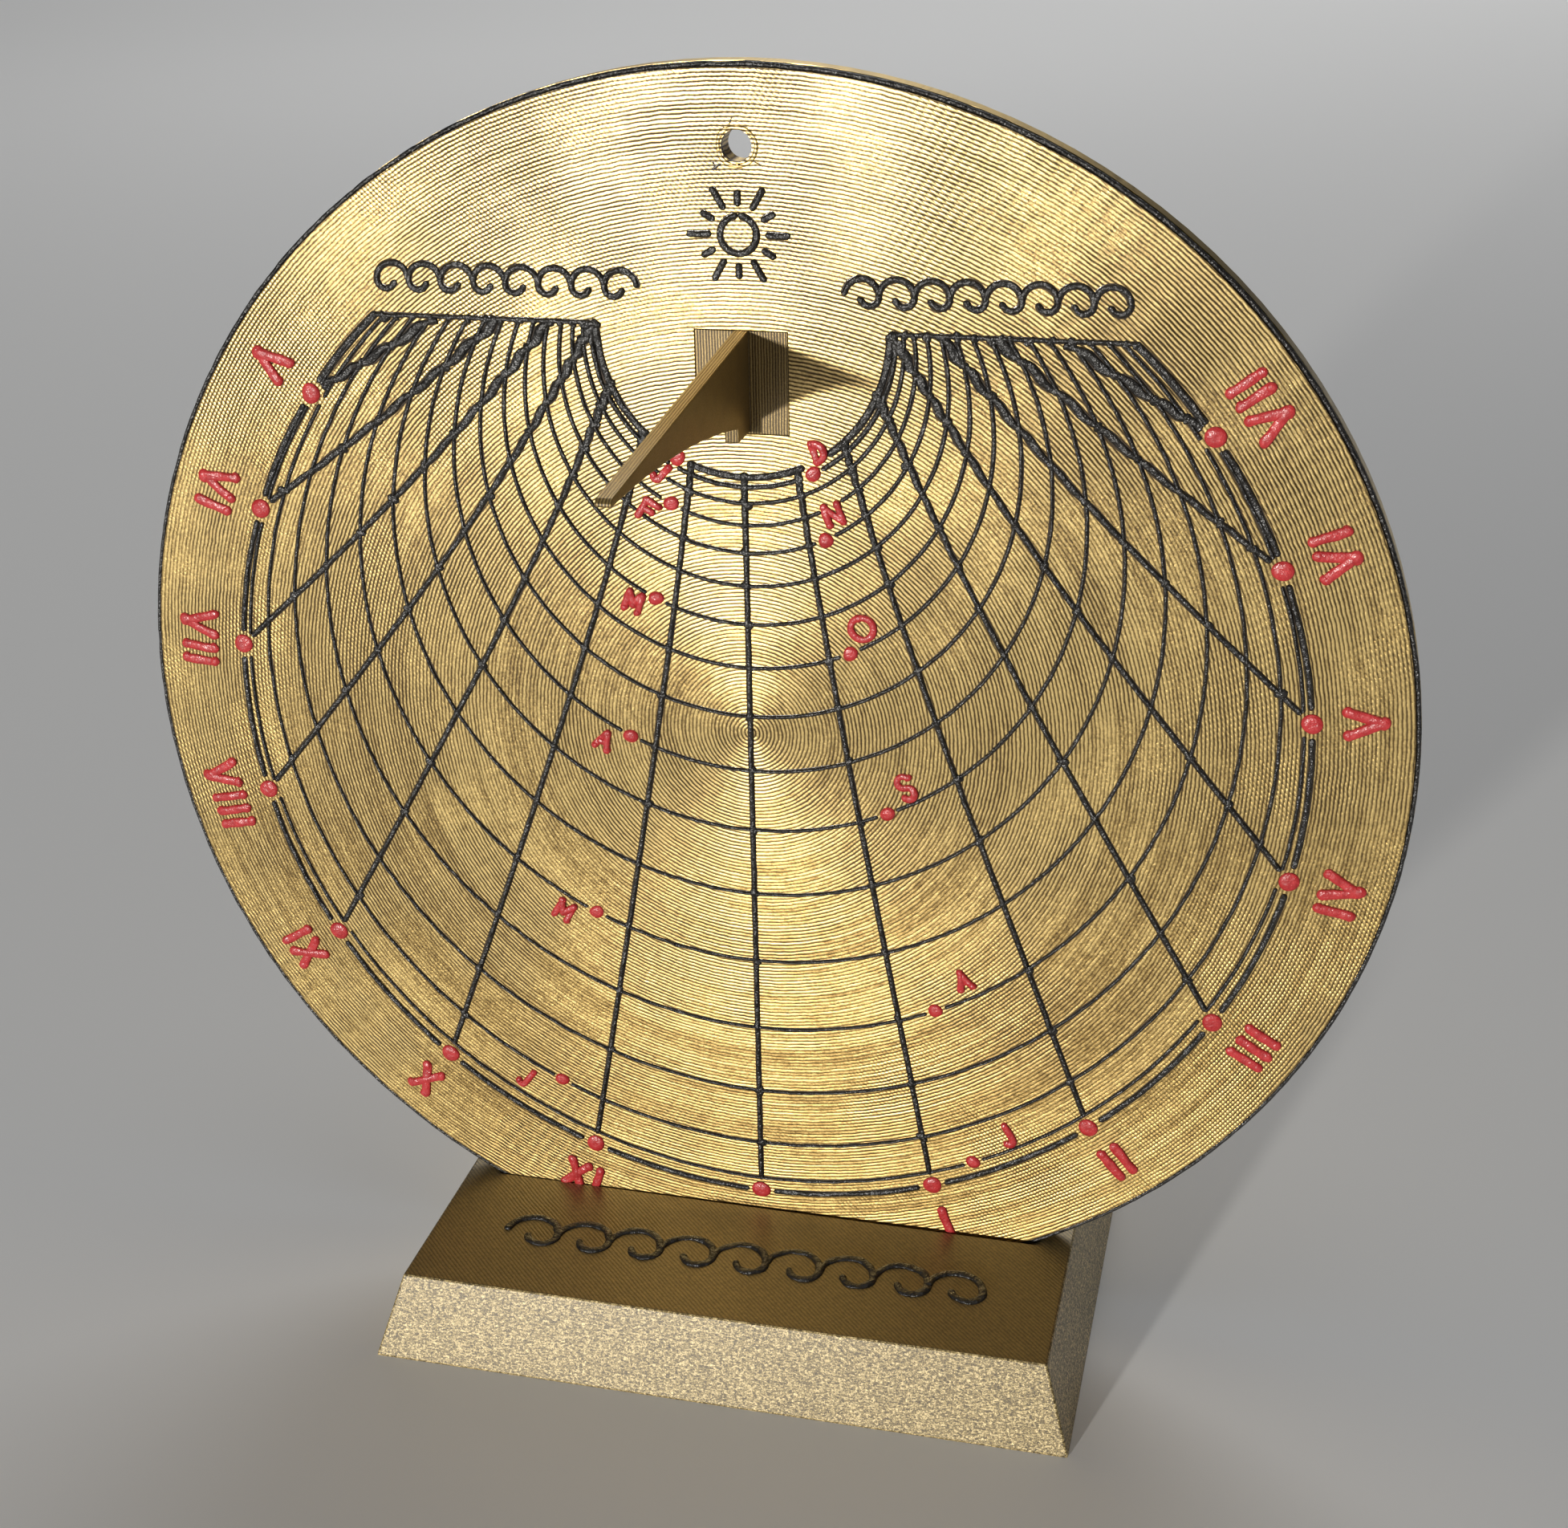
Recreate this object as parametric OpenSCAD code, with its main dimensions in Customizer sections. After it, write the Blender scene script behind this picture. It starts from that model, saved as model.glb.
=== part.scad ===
// Standing altitude sundial: a round printed plate with raised dial lines, a plug-in
// fin gnomon and a low plinth with a slot. Row frame: +Z up, +X to the right of someone
// who reads the dial, the dial face looks along -Y, origin at the plinth's underside.

/* [Plate] */
// Radius of the gold face layer
face_r = 75; // [70:0.5:90]
// Thickness of the gold face layer
face_t = 0.4; // [0.2:0.1:1]
// Thickness of the black middle layer
black_t = 0.4; // [0.2:0.1:1]
// How far the black layer stands out past the face
black_step = 0.4; // [0:0.1:0.8]
// Thickness of the gold back layer
back_t = 2.4; // [1.6:0.1:5]
// How far the back layer stands out past the black layer
back_step = 0.2; // [0:0.1:0.8]
// Radius of the hanging hole
hang_hole_r = 1.7; // [1:0.1:2.5]
// Distance from the hanging hole's centre to the top of the face
hang_edge = 8; // [6:0.5:9]

/* [Dial] */
// Latitude that the dial is drawn for
latitude = 48.4; // [46:0.1:50]
// Tilt of the earth's axis
obliquity = 23.44; // [23:0.01:24]
// Width of the plain rim outside the hour ring
rim_w = 11; // [10.5:0.1:13]
// Distance from the dial's pole point to the top of the hour ring
pole_gap = 15.4; // [14:0.1:17]
// Drop of the two horizon lines below the pole point
horizon_drop = 1.1; // [0.5:0.1:3]
// Width of the hour lines
hour_line_w = 0.8; // [0.5:0.1:1.2]
// Width of the date lines
date_line_w = 0.5; // [0.3:0.1:0.8]
// Width of the broken hour ring
ring_w = 0.8; // [0.5:0.1:1.2]
// Height of the black beads above the face
bead_h = 0.3; // [0.2:0.1:0.5]

/* [Red marks] */
// Radius of an hour dot
hour_dot_r = 1.2; // [0.6:0.1:1.4]
// Radius of a month dot
month_dot_r = 0.9; // [0.5:0.1:1]
// Height of the red beads above the face
red_h = 0.4; // [0.2:0.1:0.6]
// Gap between the hour dots and the hour numerals
numeral_gap = 2.1; // [1:0.1:2.6]
// Height of an hour numeral
numeral_h = 4.9; // [3:0.1:5.5]
// Width of the numerals' strokes
numeral_w = 1; // [0.5:0.1:1.1]
// Height of a month letter
letter_h = 3; // [2:0.1:3.2]
// Width of the month letters' strokes
letter_w = 0.7; // [0.4:0.1:0.8]
// Hours before and after noon at which the month dots stand
month_hour = 1.27; // [1.2:0.01:1.35]
// Room that the black lines leave round the red marks
mark_gap = 0.4; // [0.2:0.1:0.6]

/* [Gnomon] */
// Width of the square foot
foot_w = 10.5; // [8:0.1:12]
// Height of the square foot
foot_h = 11.5; // [10:0.1:12]
// Height of the foot's top edge above the horizon lines
foot_lift = 0; // [-1:0.1:1]
// Depth of the foot's socket in the plate
socket_depth = 2.8; // [1.5:0.1:2.9]
// Gap on each side of the foot in its socket
foot_clear = 0.05; // [0.02:0.01:0.1]
// Thickness of the fin
fin_t = 1.6; // [1.2:0.1:2.5]
// Reach of the fin's tip from the face
fin_reach = 49.5; // [40:0.5:56]
// Drop of the fin's tip below the foot's top edge
fin_drop = 4.15; // [2:0.05:5]
// Height of the blunt tip
tip_h = 0.8; // [0.5:0.1:1.5]
// Reach of the square tab below the fin's root
tab_reach = 4.8; // [3:0.1:8]
// Height of the square tab
tab_h = 1.9; // [1:0.1:3]
// Distance of the tab's underside above the foot's bottom edge
tab_inset = 0.3; // [0:0.1:0.8]
// Rise of the fin's hollow lower edge above its chord
fin_hollow = 1.2; // [0.5:0.1:1.8]

/* [Plinth] */
// Wall of the plinth beyond each end of the slot
slot_end_wall = 3.8; // [2:0.1:20]
// Depth of the plinth's top, front to back
plinth_d = 50; // [40:1:80]
// Height of the plinth
plinth_h = 10.5; // [9.5:0.5:16]
// How far the flared sides stand out at the bottom
plinth_flare = 3.2; // [0:0.1:8]
// Thickness of the floor under the plate's slot
slot_floor = 1.3; // [1:0.1:3]
// Gap round the plate in the slot
slot_clear = 0.1; // [0.05:0.05:0.4]
// Gap between the red beads and the slot's front wall
slot_bead_clear = 0.15; // [0.1:0.05:0.4]

/* [Ornament] */
// Width of the strokes on the plinth
ornament_w = 1; // [0.6:0.1:1.2]
// Width of the ornament's strokes on the face
face_stroke_w = 0.7; // [0.5:0.1:0.8]
// Radius of a scroll's curl as a share of its crest
scroll_curl = 0.55; // [0.5:0.05:0.65]
// Radius of the scrolls on the face
scroll_r = 1.9; // [1.7:0.1:2]
// Height of the scrolls' line above the horizon lines
scroll_lift = 4.2; // [3.5:0.1:5]
// Number of scrolls on each side of the face
scroll_count = 8; // [4:1:8]
// Radius of the small sun's disc
sun_r = 2; // [1.5:0.1:2.5]
// Gap between the sun's ring and its rays, middle to middle
ray_gap = 1.3; // [1.2:0.1:1.6]
// Length of the sun's long rays
long_ray = 2.1; // [1.5:0.1:2.5]
// Length of the sun's short rays
short_ray = 1.1; // [0.6:0.1:1.4]
// Height of the small sun above the horizon lines
sun_lift = 10.3; // [9.5:0.1:11]
// Radius of the scrolls on the plinth
plinth_scroll_r = 3.4; // [2.5:0.1:3.6]
// Number of scrolls on the plinth
plinth_scroll_count = 9; // [4:1:9]

/* [Hidden] */
$fn = 96;
plate_t = face_t + black_t + back_t;
black_r = face_r + black_step;
back_r = black_r + back_step;
face_y = -plate_t / 2;
disc_z = slot_floor + slot_clear + back_r;
hang_hole_y = face_r - hang_edge;

// The dial's geometry fits the ring: the midsummer noon point is the ring's lowest point.
ring_r = face_r - rim_w;
nodus_y = ring_r - pole_gap;
nodus_h = (ring_r + nodus_y) / tan(90 - latitude + obliquity);
horizon_y = nodus_y - horizon_drop;
numeral_r = ring_r + hour_dot_r + numeral_gap + numeral_h / 2;
foot_top_y = horizon_y + foot_lift;
sun_y = horizon_y + sun_lift;

// The slot opens on the plinth's top as a chord of the plate.
slot_half = sqrt(pow(back_r + slot_clear, 2) - pow(disc_z - plinth_h, 2));
plinth_w = 2 * (slot_half + slot_end_wall);
noon_hour = 12;
first_hour = 5;
last_hour = 19;
cut = 1;
GOLD = "#c8a24a";
BLACK = "#1c1c1e";
RED = "#c8303a";

// Months: letter, the longitude of the date line that its dot stands on, side of noon, then
// the reach of the letter from its dot in letter heights, that reach's direction, the
// letter's tilt and its size in letter heights. Longitudes run from -90 in midwinter to 90
// in midsummer.
MONTHS = [
    ["J", -80, -1, 0.92, -140, -40, 1],
    ["F", -50, -1, 0.95, -160, -30, 1],
    ["M", -20, -1, 0.92, -167, -20, 1],
    ["A", 10, -1, 1.15, -165, -25, 1],
    ["M", 40, -1, 1.4, -177, -30, 1.05],
    ["J", 70, -1, 1.7, -177, -35, 1.15],
    ["J", 80, 1, 2, 48, 30, 1.2],
    ["A", 50, 1, 1.9, 54, 25, 1],
    ["S", 20, 1, 1.4, 58, 25, 1.3],
    ["O", -10, 1, 1.15, 66, 22, 1.25],
    ["N", -40, 1, 1.05, 73, 18, 1],
    ["D", -70, 1, 0.95, 70, 18, 1]
];

function declination(lon) = asin(sin(obliquity) * sin(lon));
function noon_y(lon) = nodus_y - nodus_h * tan(90 - latitude + declination(lon));

// A date circle runs through the noon point and the top of the hour ring.
function date_centre(lon) = (ring_r + noon_y(lon)) / 2;
function date_radius(lon) = (ring_r - noon_y(lon)) / 2;

// Where an hour line meets a date circle.
function sun_sine(lon, ha) = max(0, sin(latitude) * sin(declination(lon))
    + cos(latitude) * cos(declination(lon)) * cos(ha));
function drop(s, n) = (s * (n - pole_gap)
    + sqrt(pow(s * (n - pole_gap), 2) + 4 * s * (nodus_h * nodus_h + n * pole_gap))) / 2;
function hour_at(n, u, side) = [side * sqrt(max(0, (n - u) * (u + pole_gap))), nodus_y - u];
function hour_point(lon, ha) =
    let (n = nodus_y - noon_y(lon), u = drop(pow(sun_sine(lon, ha), 2), n))
    hour_at(n, u, sign(ha));
function hour_angle(hour) = 15 * (hour - noon_hour);
function clamp1(v) = max(-1, min(1, v));
function sunrise_lon(ha) = asin(clamp1(sin(atan(-cos(ha) / tan(latitude))) / sin(obliquity)));
function hour_mark(hour) = hour_point(90, hour_angle(hour));

// An hour line as points from its winter end to the hour ring.
HOUR_STEPS = 18;
function hour_curve(hour) =
    let (start = sunrise_lon(hour_angle(hour)))
    [for (i = [0:HOUR_STEPS]) hour_point(start + (90 - start) * i / HOUR_STEPS, hour_angle(hour))];

function unit(v) = v / norm(v);
function side_of(pts, i) =
    let (d = unit(pts[min(i + 1, len(pts) - 1)] - pts[max(i - 1, 0)]))
    [-d[1], d[0]];
function ribbon(pts, w) = concat(
    [for (i = [0:len(pts) - 1]) pts[i] + side_of(pts, i) * w / 2],
    [for (i = [len(pts) - 1:-1:0]) pts[i] - side_of(pts, i) * w / 2]
);

// Puts something drawn on the plate (x right, y up, z out of the face) in the row frame.
module on_plate() {
    translate([0, face_y, disc_z])
        rotate([90, 0, 0])
        children();
}

// A stroke with round ends.
module bar(p, q, w) {
    d = q - p;
    translate(p)
        rotate(atan2(d[1], d[0]))
        translate([0, -w / 2])
        square([norm(d), w]);
    translate(p) circle(d = w);
    translate(q) circle(d = w);
}

module chain(pts, w) {
    for (i = [0:len(pts) - 2]) bar(pts[i], pts[i + 1], w);
}

// A wedge from angle a0 to a1, wide enough to cut a ring of radius r.
module wedge(r, a0, a1) {
    n = ceil((a1 - a0) / 45);
    polygon(concat([[0, 0]], [for (i = [0:n]) let (a = a0 + (a1 - a0) * i / n) 2 * r * [cos(a), sin(a)]]));
}

module ring(r, w) {
    difference() {
        circle(r + w / 2);
        circle(r - w / 2);
    }
}

// A curved stroke with round ends.
module arc(r, a0, a1, w) {
    intersection() {
        ring(r, w);
        wedge(r + w, a0, a1);
    }
    for (a = [a0, a1]) translate(r * [cos(a), sin(a)]) circle(d = w);
}

module below_horizon() {
    translate([-face_r, -face_r])
        square([2 * face_r, face_r + horizon_y]);
}

// Plates and the hole for the hanging pin.
module disc(r, t, depth) {
    difference() {
        translate([0, 0, -depth - t]) cylinder(h = t, r = r);
        translate([0, hang_hole_y, -depth - t - cut]) cylinder(h = t + 2 * cut, r = hang_hole_r);
        translate([0, foot_top_y - foot_h / 2, -socket_depth])
            linear_extrude(height = socket_depth + cut)
            square([foot_w + 2 * foot_clear, foot_h + 2 * foot_clear], center = true);
    }
}

module plate_face() {
    color(GOLD) on_plate() disc(face_r, face_t, 0);
}

module plate_black_layer() {
    color(BLACK) on_plate() disc(black_r, black_t, face_t);
}

module plate_back() {
    color(GOLD) on_plate() disc(back_r, back_t, face_t + black_t);
}

// A month's dot, and the centre of its letter.
function month_dot(m) = hour_point(m[1], m[2] * 15 * month_hour);
function letter_at(m) = month_dot(m) + letter_h * m[3] * [cos(m[4]), sin(m[4])];
function letter_room(m) = letter_h * m[6] / 2 + letter_w / 2 + mark_gap / 4;

module mark_room() {
    for (h = [first_hour:last_hour])
        translate(hour_mark(h)) circle(hour_dot_r + mark_gap);
    for (m = MONTHS) {
        translate(month_dot(m)) circle(month_dot_r + mark_gap);
        translate(letter_at(m)) circle(letter_room(m));
    }
}

module date_lines() {
    color(BLACK) on_plate() linear_extrude(height = bead_h) difference() {
        intersection() {
            union() {
                for (lon = [-80:10:80])
                    translate([0, date_centre(lon)]) ring(date_radius(lon), date_line_w);
            }
            below_horizon();
        }
        mark_room();
    }
}

module hour_ring() {
    color(BLACK) on_plate() linear_extrude(height = bead_h) difference() {
        intersection() {
            ring(ring_r, ring_w);
            below_horizon();
        }
        mark_room();
    }
}

module hour_lines() {
    color(BLACK) on_plate() linear_extrude(height = bead_h) difference() {
        intersection() {
            union() {
                for (h = [first_hour:last_hour]) polygon(ribbon(hour_curve(h), hour_line_w));
            }
            below_horizon();
        }
        mark_room();
    }
}

// The two horizon lines run from the innermost to the outermost date curve.
module horizon_line(side) {
    reach = sqrt(pow(ring_r, 2) - pow(horizon_y, 2));
    inner = sqrt(pow(date_radius(-80), 2) - pow(horizon_y - date_centre(-80), 2));
    lift = horizon_y + hour_line_w / 2;
    color(BLACK) on_plate() linear_extrude(height = bead_h)
        bar([side * inner, lift], [side * reach, lift], hour_line_w);
}

module horizon_line_left() {
    horizon_line(-1);
}

module horizon_line_right() {
    horizon_line(1);
}

module hour_dots() {
    color(RED) on_plate() for (h = [first_hour:last_hour])
        translate(hour_mark(h)) cylinder(h = red_h, r = hour_dot_r);
}

module month_dots() {
    color(RED) on_plate() for (m = MONTHS)
        translate(month_dot(m)) cylinder(h = red_h, r = month_dot_r);
}

// Roman numerals, from their letters. Each letter is as wide as ADVANCE says.
ADVANCE = [["I", 0.38], ["V", 0.88], ["X", 0.78]];
ROMAN = ["XII", "I", "II", "III", "IV", "V", "VI", "VII", "VIII", "IX", "X", "XI"];
function advance(c) = [for (a = ADVANCE) if (a[0] == c) a[1]][0];
function pen(s, i) = i == 0 ? 0 : pen(s, i - 1) + advance(s[i - 1]);

module roman_letter(c, w, h) {
    if (c == "I") bar([0, -h / 2], [0, h / 2], numeral_w);
    if (c == "V") chain([[-w / 2, h / 2], [0, -h / 2], [w / 2, h / 2]], numeral_w);
    if (c == "X") {
        bar([-w / 2, -h / 2], [w / 2, h / 2], numeral_w);
        bar([-w / 2, h / 2], [w / 2, -h / 2], numeral_w);
    }
}

module hour_numeral(hour) {
    s = ROMAN[hour % 12];
    mark = hour_mark(hour);
    h = numeral_h - numeral_w;
    turn = atan2(mark[0], -mark[1]);
    color(RED) on_plate() rotate(turn) translate([0, -numeral_r])
        linear_extrude(height = red_h)
        for (i = [0:len(s) - 1])
            translate([(pen(s, i) + advance(s[i]) / 2 - pen(s, len(s)) / 2) * numeral_h, 0])
                roman_letter(s[i], (advance(s[i]) - 0.32) * numeral_h, h);
}

module numeral_5_morning() {
    hour_numeral(5);
}

module numeral_6_morning() {
    hour_numeral(6);
}

module numeral_7_morning() {
    hour_numeral(7);
}

module numeral_8_morning() {
    hour_numeral(8);
}

module numeral_9_morning() {
    hour_numeral(9);
}

module numeral_10_morning() {
    hour_numeral(10);
}

module numeral_11_morning() {
    hour_numeral(11);
}

module numeral_1_afternoon() {
    hour_numeral(13);
}

module numeral_2_afternoon() {
    hour_numeral(14);
}

module numeral_3_afternoon() {
    hour_numeral(15);
}

module numeral_4_afternoon() {
    hour_numeral(16);
}

module numeral_5_afternoon() {
    hour_numeral(17);
}

module numeral_6_afternoon() {
    hour_numeral(18);
}

module numeral_7_afternoon() {
    hour_numeral(19);
}

// Month letters drawn in a box of half width a and half height b.
module letter_shape(c, a, b) {
    w = letter_w;
    if (c == "J") {
        bar([a / 2, b], [a / 2, -b + a / 2], w);
        translate([0, -b + a / 2]) arc(a / 2, -160, 0, w);
    }
    if (c == "F") {
        bar([-a, -b], [-a, b], w);
        bar([-a, b], [a, b], w);
        bar([-a, 0], [a / 2, 0], w);
    }
    if (c == "M") chain([[-a, -b], [-a, b], [0, -b / 3], [a, b], [a, -b]], w);
    if (c == "A") {
        chain([[-a, -b], [0, b], [a, -b]], w);
        bar([-a / 2, -b / 4], [a / 2, -b / 4], w);
    }
    if (c == "S") {
        translate([0, b / 2]) arc(b / 2, 30, 270, w);
        translate([0, -b / 2]) arc(b / 2, -150, 90, w);
    }
    if (c == "O") ring(b - 0.1, w);
    if (c == "N") chain([[-a, -b], [-a, b], [a, -b], [a, b]], w);
    if (c == "D") {
        bar([-a, -b], [-a, b], w);
        translate([-a, 0]) arc(b, -90, 90, w);
    }
}

module month_letter(i) {
    m = MONTHS[i];
    half = (letter_h * m[6] - letter_w) / 2;
    color(RED) on_plate() translate(letter_at(m)) rotate(m[5])
        linear_extrude(height = red_h) letter_shape(m[0], half * 0.75, half);
}

module letter_january() {
    month_letter(0);
}

module letter_february() {
    month_letter(1);
}

module letter_march() {
    month_letter(2);
}

module letter_april() {
    month_letter(3);
}

module letter_may() {
    month_letter(4);
}

module letter_june() {
    month_letter(5);
}

module letter_july() {
    month_letter(6);
}

module letter_august() {
    month_letter(7);
}

module letter_september() {
    month_letter(8);
}

module letter_october() {
    month_letter(9);
}

module letter_november() {
    month_letter(10);
}

module letter_december() {
    month_letter(11);
}

// A running scroll of wave crests, each with a curl that turns in under it. The curl
// starts a little inside its crest's end, so that the two strokes cross.
module scroll_row(count, r, w) {
    curl = r * scroll_curl;
    inset = w / 8;
    for (i = [0:count - 1]) translate([(2 * i + 1 - count) * r, 0]) {
        arc(r, 0, 180, w);
        translate([r - curl - inset, 0]) arc(curl, 180, 360, w);
    }
}

module face_scroll(side) {
    outer = sqrt(pow(ring_r, 2) - pow(horizon_y, 2));
    mid = outer - scroll_count * scroll_r - ornament_w;
    color(BLACK) on_plate() scale([side, 1, 1]) translate([mid, horizon_y + scroll_lift])
        linear_extrude(height = bead_h) scroll_row(scroll_count, scroll_r, face_stroke_w);
}

module scroll_left() {
    face_scroll(-1);
}

module scroll_right() {
    face_scroll(1);
}

// A plain small sun with rays where the dial carries a heading.
RAYS = 12;
module small_sun() {
    color(BLACK) on_plate() translate([0, sun_y]) linear_extrude(height = bead_h) {
        ring(sun_r, face_stroke_w);
        for (i = [0:RAYS - 1]) rotate(i * 360 / RAYS)
            bar([sun_r + ray_gap, 0], [sun_r + ray_gap + (i % 2 == 0 ? long_ray : short_ray), 0], face_stroke_w);
    }
}

// The fin's outline in its own plane: reach from the face, height on the plate.
FIN_STEPS = 12;
function fin_lower(t) =
    let (a = [tab_reach, foot_top_y - foot_h + tab_h], b = [fin_reach, foot_top_y - fin_drop - tip_h / 2])
    a + (b - a) * t + [0, 4 * fin_hollow * t * (1 - t)];
module fin_outline() {
    polygon(concat(
        [[-socket_depth / 2, foot_top_y]],
        [[0, foot_top_y]],
        [[fin_reach - tip_h / 2, foot_top_y - fin_drop + tip_h / 2]],
        [[fin_reach, foot_top_y - fin_drop]],
        [for (i = [FIN_STEPS:-1:0]) fin_lower(i / FIN_STEPS)],
        [[tab_reach, foot_top_y - foot_h + tab_inset]],
        [[-socket_depth / 2, foot_top_y - foot_h + tab_inset]]
    ));
}

// The fin stands on a square foot that plugs into the plate's socket.
module gnomon() {
    color(GOLD) on_plate() {
        translate([-foot_w / 2, foot_top_y - foot_h, -socket_depth])
            cube([foot_w, foot_h, socket_depth]);
        translate([fin_t / 2, 0, 0])
            rotate([0, -90, 0])
            linear_extrude(height = fin_t)
            fin_outline();
    }
}

// A block whose four sides flare out to the bottom, with mitred corners.
module flared(w, d, h, flare) {
    intersection() {
        rotate([90, 0, 0]) linear_extrude(height = 2 * d, center = true)
            polygon([[-w / 2 - flare, 0], [w / 2 + flare, 0], [w / 2, h], [-w / 2, h]]);
        rotate([90, 0, 90]) linear_extrude(height = 2 * w, center = true)
            polygon([[-d / 2 - flare, 0], [d / 2 + flare, 0], [d / 2, h], [-d / 2, h]]);
    }
}

module plinth() {
    front = red_h + slot_bead_clear;
    color(GOLD) difference() {
        flared(plinth_w, plinth_d, plinth_h, plinth_flare);
        translate([0, plate_t / 2 + slot_clear, disc_z])
            rotate([90, 0, 0])
            cylinder(h = plate_t + slot_clear + front, r = back_r + slot_clear);
    }
}

module plinth_scroll() {
    slot_front = plate_t / 2 + red_h + slot_bead_clear;
    mid = -(plinth_d / 2 + slot_front) / 2;
    color(BLACK) translate([0, mid, plinth_h]) linear_extrude(height = bead_h)
        scroll_row(plinth_scroll_count, plinth_scroll_r, ornament_w);
}

plinth();
plinth_scroll();
plate_back();
plate_black_layer();
plate_face();
date_lines();
hour_ring();
hour_lines();
horizon_line_left();
horizon_line_right();
scroll_left();
scroll_right();
small_sun();
hour_dots();
month_dots();
numeral_5_morning();
numeral_6_morning();
numeral_7_morning();
numeral_8_morning();
numeral_9_morning();
numeral_10_morning();
numeral_11_morning();
numeral_1_afternoon();
numeral_2_afternoon();
numeral_3_afternoon();
numeral_4_afternoon();
numeral_5_afternoon();
numeral_6_afternoon();
numeral_7_afternoon();
letter_january();
letter_february();
letter_march();
letter_april();
letter_may();
letter_june();
letter_july();
letter_august();
letter_september();
letter_october();
letter_november();
letter_december();
gnomon();
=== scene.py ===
"""Looks of the altitude sundial: printed gold plate, black and red beads, plinth and gnomon.

Lengths in the settings are millimetres. Plate coordinates are x right, y up and z out of
the face, from the plate's centre. on_plate() turns them into the row frame's metres.
"""

import bmesh
import bpy
import numpy as np
from mathutils import Matrix, Vector


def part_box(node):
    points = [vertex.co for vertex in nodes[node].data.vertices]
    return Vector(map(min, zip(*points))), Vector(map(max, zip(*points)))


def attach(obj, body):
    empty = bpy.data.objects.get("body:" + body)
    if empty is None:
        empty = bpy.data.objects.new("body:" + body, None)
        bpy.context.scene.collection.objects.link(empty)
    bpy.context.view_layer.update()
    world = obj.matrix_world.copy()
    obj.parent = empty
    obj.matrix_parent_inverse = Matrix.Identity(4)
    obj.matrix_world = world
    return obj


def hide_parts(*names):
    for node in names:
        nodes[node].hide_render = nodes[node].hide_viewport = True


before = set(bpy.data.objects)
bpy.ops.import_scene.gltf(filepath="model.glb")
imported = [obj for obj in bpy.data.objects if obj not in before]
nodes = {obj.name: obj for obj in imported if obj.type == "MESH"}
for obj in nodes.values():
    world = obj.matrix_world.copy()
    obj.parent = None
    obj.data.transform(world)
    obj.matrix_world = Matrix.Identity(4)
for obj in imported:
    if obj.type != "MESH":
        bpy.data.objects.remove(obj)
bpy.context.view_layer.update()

MM = 0.001
SEED = 7

# Dial settings, the same values as the part's own.
LATITUDE = 48.4
OBLIQUITY = 23.44
RIM_W = 11.0
POLE_GAP = 15.4
HORIZON_DROP = 1.1
HOURS = range(5, 20)
NOON = 12
MONTH_HOUR = 1.27
NUMERAL_H = 4.9
NUMERAL_GAP = 2.1
HOUR_DOT_R = 1.2
MONTH_DOT_R = 0.9
LETTER_H = 3.0
SCROLL_R = 1.9
SCROLL_LIFT = 4.2
SCROLL_COUNT = 8
SCROLL_CURL = 0.55
SUN_R = 2.0
SUN_LIFT = 10.3
PLINTH_SCROLL_R = 3.4
PLINTH_SCROLL_COUNT = 9
HOLE_Y = 67
HOLE_R = 1.7

# Beads: real widths and heights of the printed lines. The crown is the power of their
# half-round section: less than 1 gives a flatter top.
HOUR_BEAD_W = 0.62
DATE_BEAD_W = 0.39
RING_BEAD_W = 0.68
HORIZON_BEAD_W = 0.48
NUMERAL_W = 1.2
LETTER_W = 0.88
BLACK_BEAD_H = 0.3
RED_BEAD_H = 0.4
BLACK_CROWN = 0.8
RED_CROWN = 0.55
FACE_STROKE_W = 0.7
PLINTH_STROKE_W = 1.0
# Painted shade: the dark strips beside the beads are this much wider than a bead on each side, and this
# high. The scratch marks are as high.
SHADE_STRIP_EDGE = 0.07
PAINTED_STRIP_H = 0.02
MARK_GAP = 0.4

# The print's own pattern. The raster's strokes lie at 45 degrees to the axes.
PRINT_PITCH = 0.45
LAYER_H = 0.2
FIN_LAYER = 0.32
DIAGONAL = 1.414

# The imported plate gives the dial's size and place.
face_low, face_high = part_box("plate_face")
black_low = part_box("plate_black_layer")[0]
back_low, back_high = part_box("plate_back")
FACE_R = (face_high.x - face_low.x) / 2 / MM
FACE_Y = face_low.y
BLACK_DEPTH = (black_low.y - face_low.y) / MM
BACK_R = (back_high.x - back_low.x) / 2 / MM
DISC_Z = (face_high.z + face_low.z) / 2
PLINTH_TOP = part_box("plinth")[1].z
RING_R = FACE_R - RIM_W
POLE_Y = RING_R - POLE_GAP
HORIZON_Y = POLE_Y - HORIZON_DROP
NODUS_H = (RING_R + POLE_Y) / np.tan(np.radians(90 - LATITUDE + OBLIQUITY))


# Dial geometry.
def declination(lon):
    """The sun's declination at a solar longitude, in radians."""
    return np.arcsin(np.sin(np.radians(OBLIQUITY)) * np.sin(np.radians(lon)))


def noon_drop(lon):
    """How far below the pole the nodus's shadow falls at noon."""
    return NODUS_H * np.tan(np.radians(90 - LATITUDE) + declination(lon))


def date_centre(lon):
    """Height of a date circle's centre. Every date circle meets the ring's top point."""
    return (RING_R + POLE_Y - noon_drop(lon)) / 2


def date_radius(lon):
    return (RING_R - POLE_Y + noon_drop(lon)) / 2


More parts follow.
